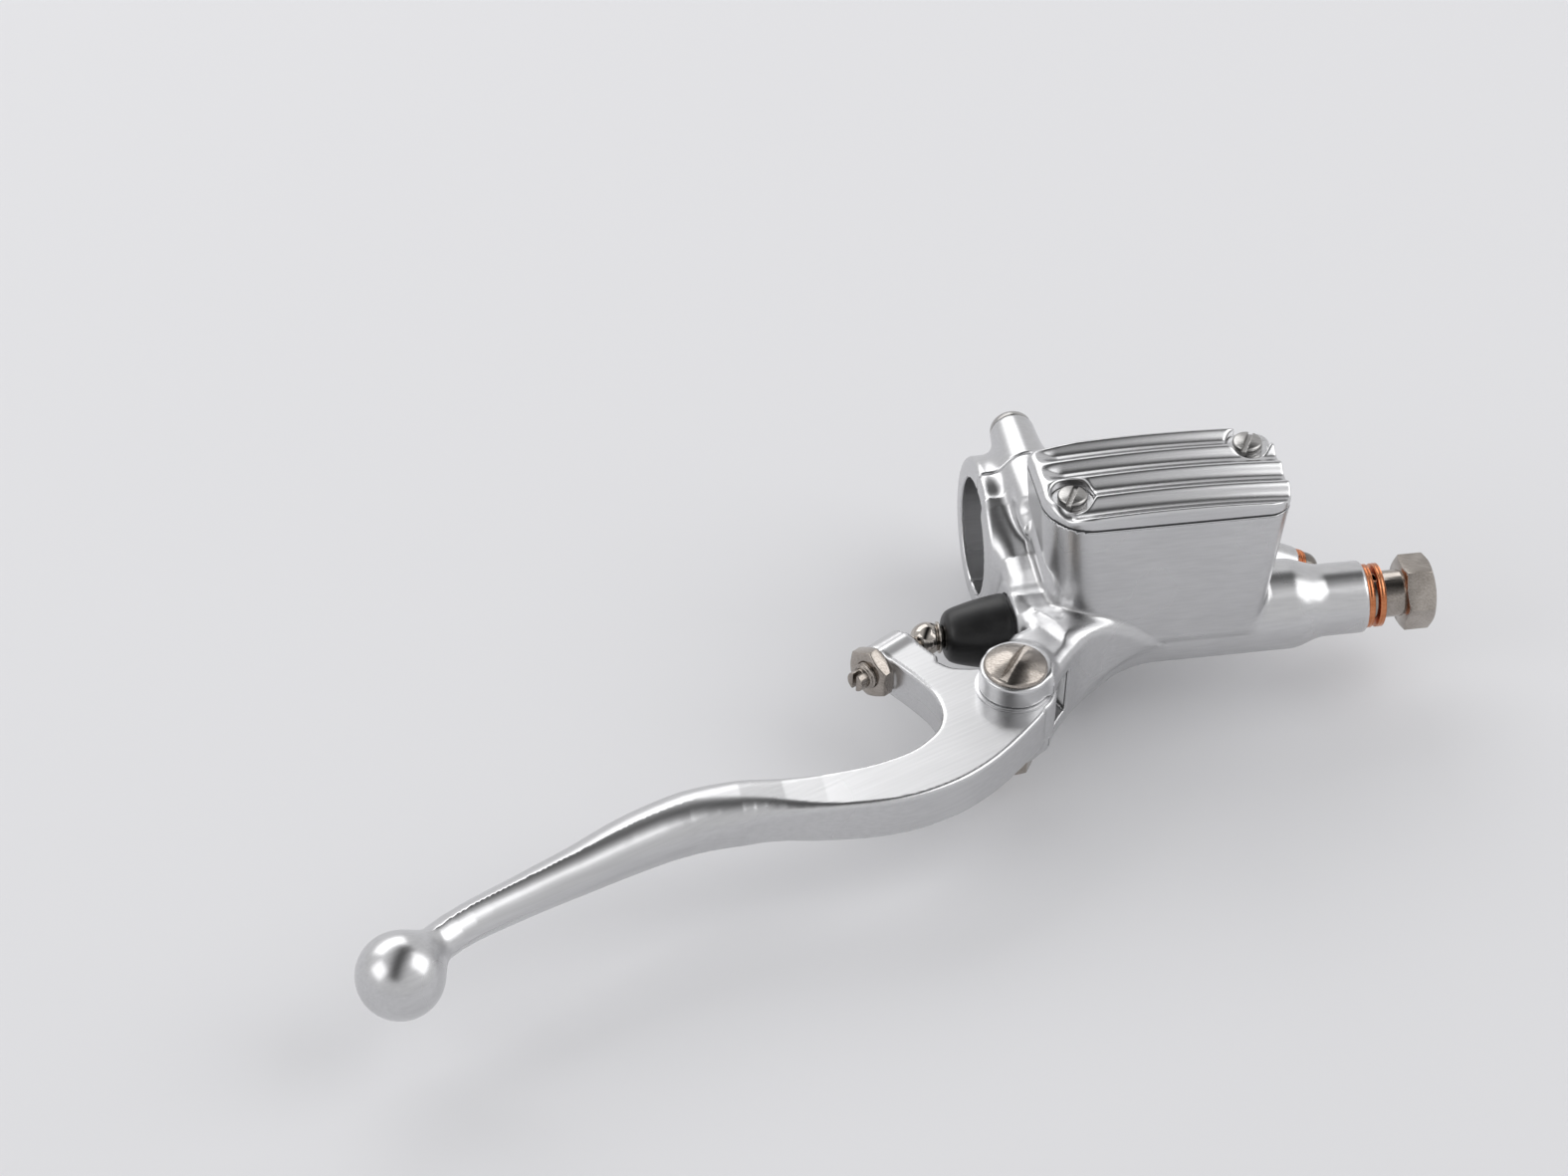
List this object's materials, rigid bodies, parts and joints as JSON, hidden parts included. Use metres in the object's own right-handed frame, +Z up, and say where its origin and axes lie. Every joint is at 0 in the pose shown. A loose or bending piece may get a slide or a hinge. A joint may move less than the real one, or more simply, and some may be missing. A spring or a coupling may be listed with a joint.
{
  "type": "brake master cylinder",
  "caption": "Hand-lever brake master cylinder with ribbed reservoir cover, ball-ended lever, adjustable push rod and handlebar clamp.",
  "frame": {"origin": "centre of the handlebar clamp's bore", "axes": "+X along the handlebar towards the hydraulic outlet, +Y towards the rider, +Z up"},
  "size_m": [0.2381, 0.1381, 0.0603],
  "materials": {
    "cast_aluminium": "satin brushed casting",
    "steel": "turned stainless steel, slightly warm",
    "polished_steel": "polished",
    "spring_steel": "drawn wire",
    "copper": "bright annealed copper",
    "bronze": "plain sintered bronze",
    "piston_aluminium": "hard anodised",
    "rubber": "matte black"
  },
  "bodies": {
    "housing": {"body": "cast_aluminium", "clamp_cap": "cast_aluminium", "clamp_bolts": "steel", "reservoir_cover": "cast_aluminium", "cover_gasket": "rubber", "diaphragm": "rubber", "cover_screws": "steel", "pivot_screw": "steel", "pivot_nut": "steel", "rubber_boot": "rubber", "circlip": "spring_steel", "stop_washer": "steel", "return_spring": "spring_steel", "banjo_bolt": "steel", "outlet_washers": "copper", "port_plug": "steel", "port_washers": "copper"},
    "lever": {"lever": "cast_aluminium", "pivot_bush": "bronze", "lever_shims": "steel", "adjuster_screw": "steel", "adjuster_locknut": "steel"},
    "piston": {"piston": "piston_aluminium", "secondary_cup": "rubber", "primary_cup": "rubber", "spring_seat": "steel"},
    "push_rod": {"push_rod": "polished_steel"}
  },
  "joints": [
    {"name": "lever_pivot", "type": "hinge", "parent": "housing", "child": "lever", "pos_m": [-0.0138, -0.0537, 0], "axis": [0, 0, 1], "range_deg": [-20, 0]},
    {"name": "piston_slide", "type": "slide", "parent": "housing", "child": "piston", "axis": [1, 0, 0], "range_m": [0, 0.0086], "stiffness_N_per_m": 900, "springref_m": -0.006, "deforming": ["return_spring", "rubber_boot"]},
    {"name": "push_rod_tilt", "type": "hinge", "parent": "piston", "child": "push_rod", "pos_m": [-0.001, -0.031, 0], "axis": [0, 0, 1], "range_deg": [-7.5, 0]}
  ],
  "couplings": [
    {"joint": "piston_slide", "follows": "lever_pivot", "m_per_rad": -0.0244},
    {"joint": "push_rod_tilt", "follows": "lever_pivot", "ratio": 0.337}
  ]
}
